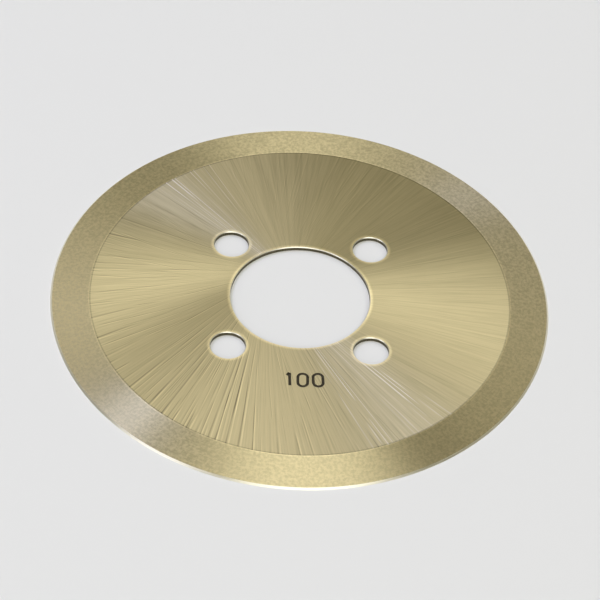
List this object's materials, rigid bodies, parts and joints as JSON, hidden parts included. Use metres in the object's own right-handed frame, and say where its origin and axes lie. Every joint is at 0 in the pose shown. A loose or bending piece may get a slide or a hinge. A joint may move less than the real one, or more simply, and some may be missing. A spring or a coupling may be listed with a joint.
{
  "type": "circular knife",
  "caption": "Thin round slitting knife with a flat back, a single-sided bevelled edge, a central bore and a circle of clamping screw holes.",
  "frame": {"origin": "on the knife's axis, in the plane of the flat back on which it lies", "axes": "+Z along the axis, from the flat back towards the bevelled face; +X and +Y run between the screw holes, and the size mark is read from the -Y side"},
  "size_m": [0.1, 0.1, 0.001],
  "materials": {
    "ground_steel": "ground"
  },
  "bodies": {
    "root": {"blade": "ground_steel"}
  },
  "joints": []
}
